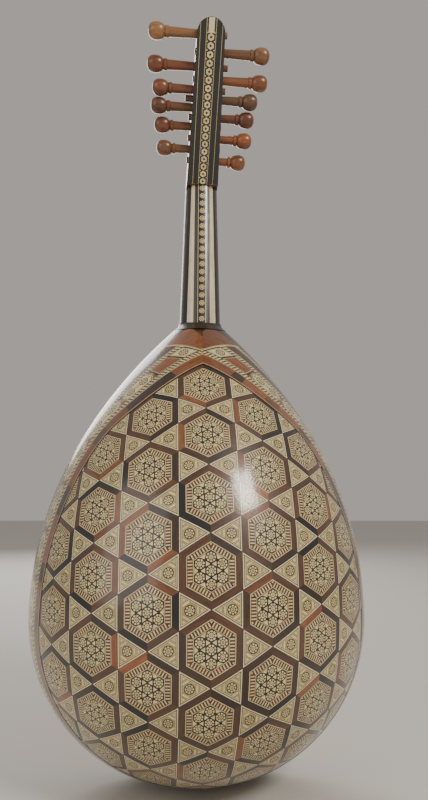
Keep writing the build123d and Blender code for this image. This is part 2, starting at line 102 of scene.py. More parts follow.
def settle(points, depth=0.0):
    """Moves points to the bowl's surface, or this far inside it. Returns them and the outward normals."""
    points = np.asarray(points, float)
    rho = np.hypot(points[:, 0], points[:, 1])
    heading = np.zeros(len(points))
    for number, (centre, radius, start, end) in enumerate(ARCS):
        angle = np.arctan2(rho - centre[0], centre[1] - points[:, 2])
        here = angle >= start if number else np.ones(len(points), bool)
        heading = np.where(here, angle, heading)
        if number == 0:
            number_of = np.zeros(len(points), int)
        else:
            number_of = np.where(here, number, number_of)
    centres = np.array([arc[0] for arc in ARCS])[number_of]
    radii = np.array([arc[1] for arc in ARCS])[number_of] - depth
    across = centres[:, 0] + radii * np.sin(heading)
    up = centres[:, 1] - radii * np.cos(heading)
    unit = points[:, :2] / np.maximum(rho, 1e-6)[:, None]
    placed = np.column_stack([unit * across[:, None], up])
    normals = np.column_stack([unit * np.sin(heading)[:, None], -np.cos(heading)])
    return placed, normals


# The unrolled back: u runs round the bowl from the back's middle, towards -X, and v up along it

V_ZERO_HEIGHT = 200.0
U_STEPS = np.arange(-297.0, 298.0, 3.0)
HEIGHTS = BODY_LENGTH * (1 - np.cos(np.linspace(0.02, 1.0, 500) * math.pi / 2))


def arc_table():
    """For each u, the way along the surface at each height."""
    across = np.interp(HEIGHTS, PROFILE[:, 1], PROFILE[:, 0])
    table = np.full((len(U_STEPS), len(HEIGHTS)), np.nan)
    for row, u in enumerate(U_STEPS):
        turn = u / across
        good = np.abs(turn) < 1.62
        line = np.column_stack([-across * np.sin(turn), across * np.cos(turn), HEIGHTS])
        step = np.linalg.norm(np.diff(line, axis=0), axis=1)
        way = np.concatenate([[0.0], np.cumsum(np.where(good[1:], step, 0.0))])
        way -= np.interp(V_ZERO_HEIGHT, HEIGHTS, way)
        table[row] = np.where(good, way, np.nan)
    return table


ARC_TABLE = arc_table()
V_STEPS = np.arange(-300.0, 345.0, 2.5)


def height_table():
    table = np.empty((len(U_STEPS), len(V_STEPS)))
    for row in range(len(U_STEPS)):
        good = ~np.isnan(ARC_TABLE[row])
        way = ARC_TABLE[row][good]
        slope_low = (HEIGHTS[good][1] - HEIGHTS[good][0]) / max(way[1] - way[0], 1e-6)
        slope_high = (HEIGHTS[good][-1] - HEIGHTS[good][-2]) / max(way[-1] - way[-2], 1e-6)
        values = np.interp(V_STEPS, way, HEIGHTS[good])
        values = np.where(V_STEPS < way[0], HEIGHTS[good][0] + (V_STEPS - way[0]) * slope_low, values)
        values = np.where(V_STEPS > way[-1], HEIGHTS[good][-1] + (V_STEPS - way[-1]) * slope_high, values)
        table[row] = values
    return table


HEIGHT_TABLE = height_table()


def grid_value(table, rows, columns, at_row, at_column):
    """Linear interpolation in an even grid."""
    r = np.clip((at_row - rows[0]) / (rows[1] - rows[0]), 0, len(rows) - 1.001)
    c = np.clip((at_column - columns[0]) / (columns[1] - columns[0]), 0, len(columns) - 1.001)
    r0, c0 = r.astype(int), c.astype(int)
    fr, fc = r - r0, c - c0
    if table.ndim == 3:
        fr, fc = fr[:, None], fc[:, None]
    low = table[r0, c0] * (1 - fr) + table[r0 + 1, c0] * fr
    high = table[r0, c0 + 1] * (1 - fr) + table[r0 + 1, c0 + 1] * fr
    return low * (1 - fc) + high * fc


def on_back(u, v, depth=0.0):
    """Points and normals of the bowl at unrolled places."""
    height = grid_value(HEIGHT_TABLE, U_STEPS, V_STEPS, u, v)
    across = np.interp(height, PROFILE[:, 1], PROFILE[:, 0])
    turn = np.clip(u / np.maximum(across, 1.0), -1.9, 1.9)
    rough = np.column_stack([-across * np.sin(turn), across * np.cos(turn), height])
    return settle(rough, depth)


# ---------------------------------------------------------------- the lattice of hexagons and triangles

SIDE = 32.08
COLUMN_PITCH = 56.6
COLUMN_STRETCH = COLUMN_PITCH / (SIDE * math.sqrt(3))
LATTICE_TOP = 231.5
LATTICE_SHIFT = -3.1
LATTICE_MIDDLE = 23.0
APEX = LATTICE_TOP + SIDE
ROW_NARROWING = (1.010, 0.0087, 0.0017)  # of a row's width, with its number from the middle and that squared
COLUMN_SLANT = (-5.0, -1.6)  # how far columns slide down to the +X and -X sides, for each column
COLUMN_SPREAD = (1.035, 0.12, 4.0)
DROOP_ROUNDING = 0.3  # of a column pitch, round the middle


def lattice_to_back(x, y):
    """The lattice as its maker bent it over the bowl: closer to the sides and towards the foot."""
    column = x / COLUMN_PITCH
    row = (LATTICE_MIDDLE - y) / SIDE
    width, narrowing, curving = ROW_NARROWING
    u = LATTICE_SHIFT + x * (width - narrowing * row - curving * row * row)
    droop = np.sqrt(column * column + DROOP_ROUNDING * DROOP_ROUNDING) - DROOP_ROUNDING
    slant = np.where(column < 0, *COLUMN_SLANT)
    middle, loss, reach = COLUMN_SPREAD
    stretch = middle - loss * column * column / (column * column + reach)
    v = LATTICE_MIDDLE + (y - LATTICE_MIDDLE) * stretch + slant * droop
    return u, v


# ---------------------------------------------------------------- materials


def srgb(red, green, blue):
    """Linear colour from screen values of 0 to 255."""
    return tuple((c / 255 / 12.92) if c <= 10.3 else ((c / 255 + 0.055) / 1.055) ** 2.4
                 for c in (red, green, blue))


class Nodes:
    """Short hand for a material's nodes."""

    def __init__(self, name):
        self.material = bpy.data.materials.new(name)
        self.material.use_nodes = True
        self.tree = self.material.node_tree
        self.shader = self.tree.nodes["Principled BSDF"]

    def add(self, kind, **values):
        node = self.tree.nodes.new(kind)
        for key, value in values.items():
            setattr(node, key, value)
        return node

    def link(self, source, target):
        self.tree.links.new(source, target)

    def texture(self, kind, vector, **inputs):
        node = self.add(kind)
        self.link(vector, node.inputs["Vector"])
        for key, value in inputs.items():
            node.inputs[key.replace("_", " ")].default_value = value
        return node

    def mapping(self, source, scale, rotation=(0, 0, 0)):
        node = self.add("ShaderNodeMapping")
        node.inputs["Scale"].default_value = scale
        node.inputs["Rotation"].default_value = rotation
        self.link(source, node.inputs["Vector"])
        return node.outputs["Vector"]

    def ramp(self, factor, *stops):
        node = self.add("ShaderNodeValToRGB")
        while len(node.color_ramp.elements) < len(stops):
            node.color_ramp.elements.new(0.5)
        for element, (place, colour) in zip(node.color_ramp.elements, stops):
            element.position = place
            element.color = (*colour, 1.0)
        self.link(factor, node.inputs["Fac"])
        return node.outputs["Color"]

    def mix_colour(self, kind, factor, a, b):
        node = self.add("ShaderNodeMix", data_type="RGBA", blend_type=kind)
        for socket, value in ((node.inputs[0], factor), (node.inputs[6], a), (node.inputs[7], b)):
            if isinstance(value, (int, float)):
                socket.default_value = value
            elif isinstance(value, tuple):
                socket.default_value = (*value, 1.0)
            else:
                self.link(value, socket)
        return node.outputs[2]

    def bump(self, height, strength, distance=0.001):
        node = self.add("ShaderNodeBump")
        node.inputs["Strength"].default_value = strength
        node.inputs["Distance"].default_value = distance
        self.link(height, node.inputs["Height"])
        self.link(node.outputs["Normal"], self.shader.inputs["Normal"])
        return node

    def gloss(self, roughness, coat=0.0, coat_roughness=0.1, specular=0.5):
        self.shader.inputs["Roughness"].default_value = roughness
        self.shader.inputs["Coat Weight"].default_value = coat
        self.shader.inputs["Coat Roughness"].default_value = coat_roughness
        self.shader.inputs["Specular IOR Level"].default_value = specular


def chip_material():
    """Lacquered chips: colour from each chip, wood grain where its alpha says wood."""
    n = Nodes("lacquered_chips")
    chip = n.add("ShaderNodeAttribute", attribute_name="chip")
    uv = n.add("ShaderNodeUVMap", uv_map="grain").outputs["UV"]
    fine = n.texture("ShaderNodeTexNoise", n.mapping(uv, (0.09, 1.6, 1)),
                     Scale=1.0, Detail=5.0, Roughness=0.62)
    broad = n.texture("ShaderNodeTexNoise", n.mapping(uv, (0.03, 0.35, 1)), Scale=1.0, Detail=2.0)
    streaks = n.ramp(fine.outputs["Fac"], (0.28, (0.42, 0.38, 0.36)), (0.5, (0.95, 0.95, 0.95)),
                     (0.72, (1.5, 1.42, 1.3)))
    tone = n.ramp(broad.outputs["Fac"], (0.3, (0.75, 0.75, 0.75)), (0.7, (1.2, 1.2, 1.2)))
    wood = n.mix_colour("MULTIPLY", 1.0, chip.outputs["Color"], streaks)
    wood = n.mix_colour("MULTIPLY", 1.0, wood, tone)
    mottle = n.texture("ShaderNodeTexNoise", n.mapping(uv, (0.5, 0.9, 1)), Scale=1.0, Detail=4.0)
    aged = n.ramp(mottle.outputs["Fac"], (0.3, (0.80, 0.77, 0.68)), (0.6, (1.04, 1.03, 1.0)))
    bone = n.mix_colour("MULTIPLY", 1.0, chip.outputs["Color"], aged)
    colour = n.mix_colour("MIX", chip.outputs["Alpha"], bone, wood)
    n.link(colour, n.shader.inputs["Base Color"])
    place = n.add("ShaderNodeTexCoord").outputs["Object"]
    wavy = n.texture("ShaderNodeTexNoise", place, Scale=90.0, Detail=3.0, Roughness=0.5)
    n.bump(wavy.outputs["Fac"], 0.22, 0.0009)
    n.gloss(0.42, coat=0.85, coat_roughness=0.13)
    return n.material


def wood_material(name, dark, light, axis="Z", scale=1.0, roughness=0.45, coat=0.0, coat_roughness=0.2,
                  pores=0.35, figure=0.5, mottled=None):
    """Wood with its grain along one axis of the object's frame."""
    n = Nodes(name)
    place = n.add("ShaderNodeTexCoord").outputs["Object"]
    along = {"X": (6.0, 150.0, 150.0), "Y": (150.0, 6.0, 150.0), "Z": (150.0, 150.0, 6.0)}[axis]
    stretched = n.mapping(place, tuple(scale * value for value in along))
    coarse = n.mapping(place, tuple(scale * value * 0.22 for value in along))
    fine = n.texture("ShaderNodeTexNoise", stretched, Scale=3.0, Detail=8.0, Roughness=0.7)
    rings = n.texture("ShaderNodeTexNoise", coarse, Scale=2.0, Detail=3.0, Roughness=0.55, Distortion=0.6)
    base = n.ramp(rings.outputs["Fac"], (0.5 - 0.3 * figure, dark), (0.5 + 0.3 * figure, light))
    pore = n.ramp(fine.outputs["Fac"], (0.30, (1 - pores,) * 3), (0.62, (1.0, 1.0, 1.0)))
    colour = n.mix_colour("MULTIPLY", 1.0, base, pore)
    if mottled:
        blotch = n.texture("ShaderNodeTexNoise", place, Scale=55.0, Detail=4.0)
        spots = n.ramp(blotch.outputs["Fac"], (0.42, mottled), (0.62, (1.0, 1.0, 1.0)))
        colour = n.mix_colour("MULTIPLY", 1.0, colour, spots)
    n.link(colour, n.shader.inputs["Base Color"])
    n.bump(fine.outputs["Fac"], 0.12, 0.0004)
    n.gloss(roughness, coat=coat, coat_roughness=coat_roughness)
    return n.material


def bone_material(name, light, dark):
    n = Nodes(name)
    place = n.add("ShaderNodeTexCoord").outputs["Object"]
    cloud = n.texture("ShaderNodeTexNoise", n.mapping(place, (160.0, 160.0, 14.0)),
                      Scale=1.6, Detail=6.0, Roughness=0.6)
    colour = n.ramp(cloud.outputs["Fac"], (0.28, dark), (0.62, light))
    specks = n.texture("ShaderNodeTexNoise", n.mapping(place, (900.0, 900.0, 90.0)), Scale=1.0, Detail=2.0)
    pits = n.ramp(specks.outputs["Fac"], (0.30, (0.72, 0.66, 0.5)), (0.40, (1.0, 1.0, 1.0)))
    n.link(n.mix_colour("MULTIPLY", 1.0, colour, pits), n.shader.inputs["Base Color"])
    n.bump(specks.outputs["Fac"], 0.06, 0.0003)
    n.shader.inputs["Subsurface Weight"].default_value = 0.06
    n.shader.inputs["Subsurface Radius"].default_value = (0.004, 0.003, 0.002)
    n.shader.inputs["Subsurface Scale"].default_value = 1.0
    n.gloss(0.28, coat=0.6, coat_roughness=0.10)
    return n.material


CHIPS = chip_material()

# ---------------------------------------------------------------- chips

# tone: colour, how much it varies from chip to chip, and 1 for wood with grain
TONES = {
    "cream": (srgb(228, 210, 158), 0.14, 0.0),
    "olive": (srgb(188, 170, 110), 0.14, 0.0),
    "ivory": (srgb(240, 228, 186), 0.08, 0.0),
    "blush": (srgb(214, 164, 118), 0.10, 0.0),
    "red": (srgb(92, 46, 33), 0.40, 0.6),
    "orange": (srgb(128, 76, 42), 0.28, 1.0),
    "brown": (srgb(82, 53, 34), 0.30, 1.0),
    "walnut": (srgb(52, 33, 24), 0.30, 1.0),
    "dark": (srgb(20, 13, 10), 0.20, 0.4),
    "ebony": (srgb(17, 14, 13), 0.20, 1.0),
}


def polygon(centre, radius, sides, turn=0.0):
    step = 2 * math.pi / sides
    return [(centre[0] + radius * math.cos(turn + k * step), centre[1] + radius * math.sin(turn + k * step))
            for k in range(sides)]


def turned(points, angle):
    c, s = math.cos(angle), math.sin(angle)
    return [(c * x - s * y, s * x + c * y) for x, y in points]


def moved(points, dx, dy):
    return [(x + dx, y + dy) for x, y in points]


def clipped(points, a, b, c):
    """The part of a convex polygon where a x + b y <= c."""
    result = []
    for k, (x0, y0) in enumerate(points):
        x1, y1 = points[(k + 1) % len(points)]
        d0, d1 = a * x0 + b * y0 - c, a * x1 + b * y1 - c
        if d0 <= 0:
            result.append((x0, y0))
        if (d0 < 0 < d1) or (d1 < 0 < d0):
            t = d0 / (d0 - d1)
            result.append((x0 + t * (x1 - x0), y0 + t * (y1 - y0)))
    return result


class Pattern:
    """Chips laid over each other in a plane. A later chip covers an earlier one."""

    def __init__(self):
        self.chips = []

    def add(self, points, tone, grain=0.0):
        if len(points) >= 3:
            area = sum(x0 * y1 - x1 * y0 for (x0, y0), (x1, y1) in zip(points, points[1:] + points[:1]))
            if abs(area) > 0.02:
                self.chips.append((points if area > 0 else points[::-1], tone, grain))

    def rosette(self, x, y, radius, turn=0.0, heart="cream"):
        """A ring of eight petals on a dark disc, round a ringed heart."""
        self.add(polygon((x, y), radius, 16, turn), "dark")
        for k in range(8):
            angle = turn + k * math.pi / 4
            petal = [(0.50, -0.09), (0.68, -0.22), (0.79, -0.17), (0.82, 0.0),
                     (0.79, 0.17), (0.68, 0.22), (0.50, 0.09)]
            petal = [(px * radius, py * radius) for px, py in petal]
            self.add(moved(turned(petal, angle), x, y), "cream")
        self.add(polygon((x, y), 0.41 * radius, 8, turn), "cream")
        self.add(polygon((x, y), 0.26 * radius, 6, turn), "dark")
        self.add(polygon((x, y), 0.17 * radius, 6, turn), heart)

    def cut(self, spacing=5.0):
        """Flat triangles of the laid chips: points, triangles and each triangle's chip."""
        points, faces = [], []
        for chip, _, _ in self.chips:
            start = len(points)
            for k, (x0, y0) in enumerate(chip):
                x1, y1 = chip[(k + 1) % len(chip)]
                parts = max(1, math.ceil(math.hypot(x1 - x0, y1 - y0) / spacing))
                for part in range(parts):
                    t = part / parts
                    points.append((x0 + t * (x1 - x0), y0 + t * (y1 - y0)))
            faces.append(list(range(start, len(points))))
        low = np.min(points, axis=0)
        high = np.max(points, axis=0)
        for row, y in enumerate(np.arange(low[1], high[1], spacing * 0.87)):
            for x in np.arange(low[0] + (row % 2) * spacing / 2, high[0], spacing):
                points.append((x + 0.013, y + 0.017))
        flat, _, triangles, _, _, origins = delaunay_2d_cdt([Vector(p) for p in points], [], faces, 1, 1e-4)
        flat = np.array([tuple(p) for p in flat])
        kept, owner = [], []
        for triangle, origin in zip(triangles, origins):
            if origin:
                kept.append(triangle)
                owner.append(max(origin))
        return flat, np.array(kept), np.array(owner)


def lay(name, cut, chips, place, thickness, node, seed, keep=None, planes=(), tint=1.0):
    """Lays a cut pattern on a surface as a thin slab and makes the piece.

    place takes flat points and a depth and returns points and normals, in millimetres.
    """
    flat, triangles, owner = cut
    top, _ = place(flat, 0.0)
    if keep is not None:
        inside = keep(flat, top)
        good = inside[triangles].any(axis=1)
        triangles, owner = triangles[good], owner[good]
    if len(triangles) == 0:
        return None
    used = np.unique(triangles)
    index = np.full(len(flat), -1)
    index[used] = np.arange(len(used))
    triangles = index[triangles]
    flat, top = flat[used], top[used]
    bottom, _ = place(flat, thickness)
    a, b, c = top[triangles[:, 0]], top[triangles[:, 1]], top[triangles[:, 2]]
    facing = np.einsum("ij,ij->i", np.cross(b - a, c - a), (top - bottom)[triangles[:, 0]])
    if facing.sum() < 0:
        triangles = triangles[:, ::-1]
    count = len(used)
    edges = {}
    for number, triangle in enumerate(triangles):
        for k in range(3):
            edges[(int(triangle[k]), int(triangle[(k + 1) % 3]))] = number
    rim = [(e, number) for e, number in edges.items() if (e[1], e[0]) not in edges]
    faces = [tuple(int(i) for i in t) for t in triangles]
    faces += [tuple(int(i) + count for i in t[::-1]) for t in triangles]
    faces += [(e[1], e[0], e[0] + count, e[1] + count) for e, _ in rim]
    face_owner = np.concatenate([owner, owner, np.array([owner[number] for _, number in rim], int)])
    points = np.vstack([top, bottom]) * MM
    mesh = bpy.data.meshes.new(name)
    mesh.from_pydata([tuple(p) for p in points], [], faces)
    source = random.Random(seed)
    colours = np.empty((len(chips), 4))
    shifts = np.empty((len(chips), 2))
    angles = np.empty(len(chips))
    for number, (_, tone, grain) in enumerate(chips):
        colour, spread, wood = TONES[tone]
        shade = tint * (1 + spread * source.uniform(-1, 1))
        warm = 1 + 0.35 * spread * source.uniform(-1, 1)
        colours[number] = (colour[0] * shade * warm, colour[1] * shade, colour[2] * shade / warm, wood)
        shifts[number] = (source.uniform(0, 500), source.uniform(0, 500))
        angles[number] = grain
    loops = np.array([i for face in faces for i in face])
    sizes = np.array([len(face) for face in faces])
    loop_owner = np.repeat(face_owner, sizes)
    chip = mesh.color_attributes.new("chip", "FLOAT_COLOR", "CORNER")
    chip.data.foreach_set("color", colours[loop_owner].ravel())
    doubled = np.vstack([flat, flat])[loops]
    turn = angles[loop_owner]
    grain_uv = np.column_stack([doubled[:, 0] * np.cos(turn) + doubled[:, 1] * np.sin(turn),
                                -doubled[:, 0] * np.sin(turn) + doubled[:, 1] * np.cos(turn)])
    uv = mesh.uv_layers.new(name="grain")
    uv.data.foreach_set("uv", (grain_uv + shifts[loop_owner]).ravel())
    mesh.materials.append(CHIPS)
    if planes:
        work = bmesh.new()
        work.from_mesh(mesh)
        for point, normal in planes:
            found = bmesh.ops.bisect_plane(
                work, geom=work.verts[:] + work.edges[:] + work.faces[:], dist=1e-7,
                plane_co=[p * MM for p in point], plane_no=normal, clear_outer=True)
            cut_edges = [g for g in found["geom_cut"] if isinstance(g, bmesh.types.BMEdge)]
            bmesh.ops.holes_fill(work, edges=cut_edges, sides=0)
        work.to_mesh(mesh)
        work.free()
        if len(mesh.polygons) < 4:
            bpy.data.meshes.remove(mesh)
            return None
    piece = bpy.data.objects.new(name, mesh)
    bpy.context.scene.collection.objects.link(piece)
    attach(piece, "body")
    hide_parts(node)
    return piece


# ---------------------------------------------------------------- the tiles


HEXAGON_ROSETTE = 5.25
TRIANGLE_ROSETTE = 4.9
TILE_THICKNESS = 0.7
FIELD_DEPTH = 0.28  # of the field's face under the border's


def hexagon_pattern():
    """A mitred wood frame round a ring of blocks round seven rosettes. Pointed up, round (0, 0)."""
    p = Pattern()
    apothem = SIDE * math.cos(math.pi / 6)
    reach = math.tan(math.pi / 6)

    def ring(outer, inner, tone, parts=None):
        for side in range(6):
            angle = side * math.pi / 3
            band = [(inner, -inner * reach), (outer, -outer * reach),
                    (outer, outer * reach), (inner, inner * reach)]
            name = tone if parts is None else parts[side]
            p.add(turned(band, angle), name, angle + math.pi / 2)

    p.add(polygon((0, 0), SIDE, 6, math.pi / 6), "dark")
    ring(apothem - 0.25, apothem - 5.9, None, ["frame_%d" % k for k in range(6)])
    ring(apothem - 6.25, apothem - 6.95, "cream")
    low, high = apothem - 11.7, apothem - 7.45
    for side in range(6):
        angle = side * math.pi / 3
        edge = high * reach
        count = 17
        width = 2 * edge / count
        for k in range(count):
            start = -edge + k * width
            tone = "cream" if k % 2 == 0 else "red"
            inset = 0.14 if tone == "cream" else 0.0
            stop = start + width - inset
            block = [(low, start + inset), (high, start + inset), (high, stop), (low, stop)]
            block = clipped(block, -reach, 1.0, -0.12)
            block = clipped(block, -reach, -1.0, -0.12)
            p.add(turned(block, angle), tone, angle)
    ring(apothem - 12.1, apothem - 12.6, "cream")
    field = apothem - 12.8
    spacing = 11.4
    for k in range(6):
        angle = k * math.pi / 3
        distance = spacing / math.sqrt(3)
        p.add(turned(polygon((distance, 0), 2.5, 3, 0.0), angle), "cream")
        flat = spacing * math.cos(math.pi / 6)
        wedge = [(flat + 1.4, 0.0), (field - 0.35, 3.9), (field - 0.35, -3.9)]
        p.add(turned(wedge, angle), "cream")
    hearts = ["cream", "olive", "cream", "cream", "olive", "cream", "cream"]
    p.rosette(0, 0, HEXAGON_ROSETTE, math.pi / 8, hearts[0])
    for k in range(6):
        angle = math.pi / 6 + k * math.pi / 3
        p.rosette(spacing * math.cos(angle), spacing * math.sin(angle), HEXAGON_ROSETTE, angle, hearts[k + 1])
    return p


def triangle_pattern():
    """Pointing along +x: cream lines round one rosette with pale corners."""
    p = Pattern()
    inner = SIDE / (2 * math.sqrt(3))

    def layer(inset, tone):
        p.add(polygon((0, 0), 2 * (inner - inset), 3, 0.0), tone)

    layer(0.0, "dark")
    layer(0.25, "ivory")
    layer(1.2, "dark")
    layer(1.55, "red")
    layer(1.75, "dark")
    layer(1.95, "cream")
    layer(2.75, "dark")
    layer(3.1, "olive")
    for k in range(3):
        angle = k * 2 * math.pi / 3
        reach = 2 * (inner - 3.1)
        slope = math.tan(math.pi / 6)
        for start, tone in ((5.4, "dark"), (5.75, "cream"), (7.9, "dark"),
                            (8.2, "olive"), (9.2, "dark"), (9.5, "cream")):
            half = (reach - start) * slope
            p.add(turned([(start, -half), (reach, 0), (start, half)], angle), tone)
    p.rosette(0, 0, TRIANGLE_ROSETTE, 0.0, "olive")
    return p


FRAME_TONES = ("walnut", "brown", "brown", "walnut", "brown", "brown", "orange", "dark", "brown")


def field_pieces():
    """Every hexagon and triangle of the field, each a piece of its own."""
    hexagon = hexagon_pattern()
    hexagon_cut = hexagon.cut()
    triangle = triangle_pattern()
    triangle_cut = triangle.cut()
    chooser = random.Random(5)
    number = 0
    for column in range(-6, 7):
        for row in range(-2, 20):
            if (row - column) % 2:
                continue
            x0 = column * SIDE * math.sqrt(3)
            y0 = LATTICE_TOP - row * SIDE
            chips = []
            for points, tone, grain in hexagon.chips:
                if tone.startswith("frame_"):
                    tone = chooser.choice(FRAME_TONES)
                chips.append((points, tone, grain))
            number += 1
            lay_tile(f"hexagon_{number:03d}", hexagon_cut, chips, x0, y0, False, number)
            for pointing in (1, -1):
                inner = SIDE / (2 * math.sqrt(3))
                tx = x0 + pointing * (SIDE * math.sqrt(3) / 2 + inner)
                number += 1
                lay_tile(f"triangle_{number:03d}", triangle_cut, triangle.chips, tx, y0, pointing < 0, number)


def lay_tile(name, cut, chips, x0, y0, flipped, seed):
    def place(flat, depth):
        x = -flat[:, 0] if flipped else flat[:, 0]
        u, v = lattice_to_back((x + x0) * COLUMN_STRETCH, flat[:, 1] + y0)
        return on_back(u, v, FIELD_DEPTH + depth)

    def keep(flat, top):
        x = -flat[:, 0] if flipped else flat[:, 0]
        x, y = (x + x0) * COLUMN_STRETCH, flat[:, 1] + y0
        u, v = lattice_to_back(x, y)
        return inside_field(u, v, top)

    u, v = lattice_to_back(np.array([x0 * COLUMN_STRETCH]), np.array([y0]))
    if abs(u[0]) > 290 or not -300 < v[0] < 330:
        return
    lay(name, cut, chips, place, TILE_THICKNESS, "mosaic_field", seed, keep)


# ---------------------------------------------------------------- the border's inner edge


FOOT_HEIGHT = 18.7  # of the edge under the middle of the back
EDGE_BLEND = 22.0  # each way from the corner that is rounded off
BORDER_STEP = 2.0


def side_line():
    """The plane border's edge as unrolled places, from the foot to the throat, on the -X side."""
    heights = np.linspace(3.0, 470.0, 240)
    across = np.interp(heights, PROFILE[:, 1], PROFILE[:, 0])
    good = across > BORDER_DEPTH + 1
    heights, across = heights[good], across[good]
    u = across * np.arccos(BORDER_DEPTH / across)
    columns = np.interp(u, U_STEPS, np.arange(len(U_STEPS)))
    v = np.empty(len(u))
    for k, column in enumerate(columns):
        low = int(column)
        share = column - low
        ways = []
        for row in (low, low + 1):
            fine = ~np.isnan(ARC_TABLE[row])
            ways.append(np.interp(heights[k], HEIGHTS[fine], ARC_TABLE[row][fine]))
        v[k] = ways[0] * (1 - share) + ways[1] * share
    return u, v


SIDE_U, SIDE_V = side_line()


def inner_edge(side):
    """The border's inner edge on one side, side 1 being -X, from beyond the apex to the foot, every 4 mm."""
    slope = math.tan(math.pi / 6)
    x = np.linspace(-26.0, 280.0, 260)
    u_line, v_line = lattice_to_back(side * x, APEX - x * slope)
    u_line = side * u_line
    # the side line is followed downwards, so its upper half is found by height
    order = np.argsort(SIDE_V)
    side_u_at = np.interp(v_line, SIDE_V[order], SIDE_U[order])
    meeting = int(np.argmax((u_line > side_u_at) & (x > 72.0)))
    corner = np.array([u_line[meeting], v_line[meeting]])
    upper = np.column_stack([u_line[:meeting], v_line[:meeting]])
    lower_mask = SIDE_V < corner[1]
    lower = np.column_stack([SIDE_U[lower_mask], SIDE_V[lower_mask]])[::-1]
    upper = upper[np.linalg.norm(upper - corner, axis=1) > EDGE_BLEND]
    lower = lower[np.linalg.norm(lower - corner, axis=1) > EDGE_BLEND]
    t = np.linspace(0.08, 0.92, 12)[:, None]
    bend = (1 - t) ** 2 * upper[-1] + 2 * t * (1 - t) * corner + t ** 2 * lower[0]
    path = np.vstack([upper, bend, lower])
    points, _ = on_back(side * path[:, 0], path[:, 1])
    foot = np.array([[0.0, BORDER_DEPTH, FOOT_HEIGHT]])
    points = np.vstack([points, settle(foot)[0]])
    way = np.concatenate([[0.0], np.cumsum(np.linalg.norm(np.diff(points, axis=0), axis=1))])
    start = np.interp(0.0, x[: len(upper)], way[: len(upper)])
    stations = np.arange(0.0, way[-1], 4.0)
    line = np.column_stack([np.interp(stations, way, points[:, k]) for k in range(3)])
    edge = np.column_stack([np.interp(stations, way[:-1], side * path[:, 0]),
                            np.interp(stations, way[:-1], path[:, 1])])
    return settle(line)[0], stations - start, edge, way[-1] - start


class Border:
    """One side's border: a grid of surface points by way along it and distance out from its inner edge."""

    def __init__(self, side):
        line, self.stations, self.edge, self.length = inner_edge(side)
        for _ in range(3):
            line[1:-1] = (line[:-2] + 2 * line[1:-1] + line[2:]) / 4
        line, normals = settle(line)
        tangent = np.gradient(line, axis=0)
        tangent /= np.linalg.norm(tangent, axis=1)[:, None]
        out = np.cross(tangent, normals)
        if (out[len(out) // 2] * np.array([0.0, -1.0, 0.0])).sum() < 0:
            out = -out
        self.steps = np.arange(-2 * BORDER_STEP, 124.0, BORDER_STEP)
        self.grid = np.empty((len(line), len(self.steps), 3))
        for start, stop, sign in ((2, len(self.steps), 1.0), (2, -1, -1.0)):
            point, heading, normal = line.copy(), out.copy() * sign, normals
            for k in range(start, stop, int(sign)):
                self.grid[:, k] = point
                heading = heading - np.einsum("ij,ij->i", heading, normal)[:, None] * normal
                heading /= np.linalg.norm(heading, axis=1)[:, None]
                point, normal = settle(point + BORDER_STEP * heading)

    def place(self, flat, depth):
        """Flat points are (way along, distance out from the inner edge)."""
        points = grid_value(self.grid, self.stations, self.steps, flat[:, 0], flat[:, 1])
        return settle(points, depth)


BORDERS = {1: Border(1), -1: Border(-1)}


def inside_field(u, v, top):
    """True where a place lies within the field or just under the border's edge."""
    result = np.zeros(len(u), bool)
    for side in (1, -1):
        border = BORDERS[side]
        edge = border.edge
        here = side * (u - LATTICE_SHIFT * (v > 100)) >= 0
        nearest = np.full(len(u), 1e9)
        inward = np.zeros(len(u))
        for k in range(len(edge) - 1):
            along = edge[k + 1] - edge[k]
            size = np.hypot(*along)
            if size < 1e-6:
                continue
            du, dv = u - edge[k, 0], v - edge[k, 1]
            t = np.clip((du * along[0] + dv * along[1]) / size ** 2, 0, 1)
            gap = np.hypot(du - t * along[0], dv - t * along[1])
            closer = gap < nearest
            cross = (along[0] * dv - along[1] * du) / size
            inward = np.where(closer, -side * cross, inward)
            nearest = np.where(closer, gap, nearest)
        result |= here & (inward > -1.2)
    return result & (top[:, 1] > BORDER_DEPTH - 11.0)


# ---------------------------------------------------------------- the border's pattern

PANEL_LOW = 21.4
PANEL_HIGH = 39.4
ROPE_BANDS = ((15.2, 20.8), (40.0, 45.6))
RIM_REACH = 122.0
APEX_SIDE = -10.0  # side of the middle triangle along the border, at its lower tip


def strip(p, start, stop, low, high, tone):
    p.add([(start, low), (stop, low), (stop, high), (start, high)], tone)


def rope(p, start, stop, low, high, pitch=4.6):
    """Slanted blocks, pale and dark by turns."""
    count = max(1, round((stop - start) / pitch))
    pitch = (stop - start) / count
    lean = 2.6
    for k in range(-1, count + 1):
        x = start + k * pitch
        for share, width, tone in ((0.0, 0.40, "cream"), (0.52, 0.22, "red"), (0.80, 0.12, "olive")):
            a = x + share * pitch
            b = a + width * pitch
            block = [(a, low), (b, low), (b + lean, high), (a + lean, high)]
            block = clipped(clipped(block, -1, 0, -start), 1, 0, stop)
            p.add(block, tone)


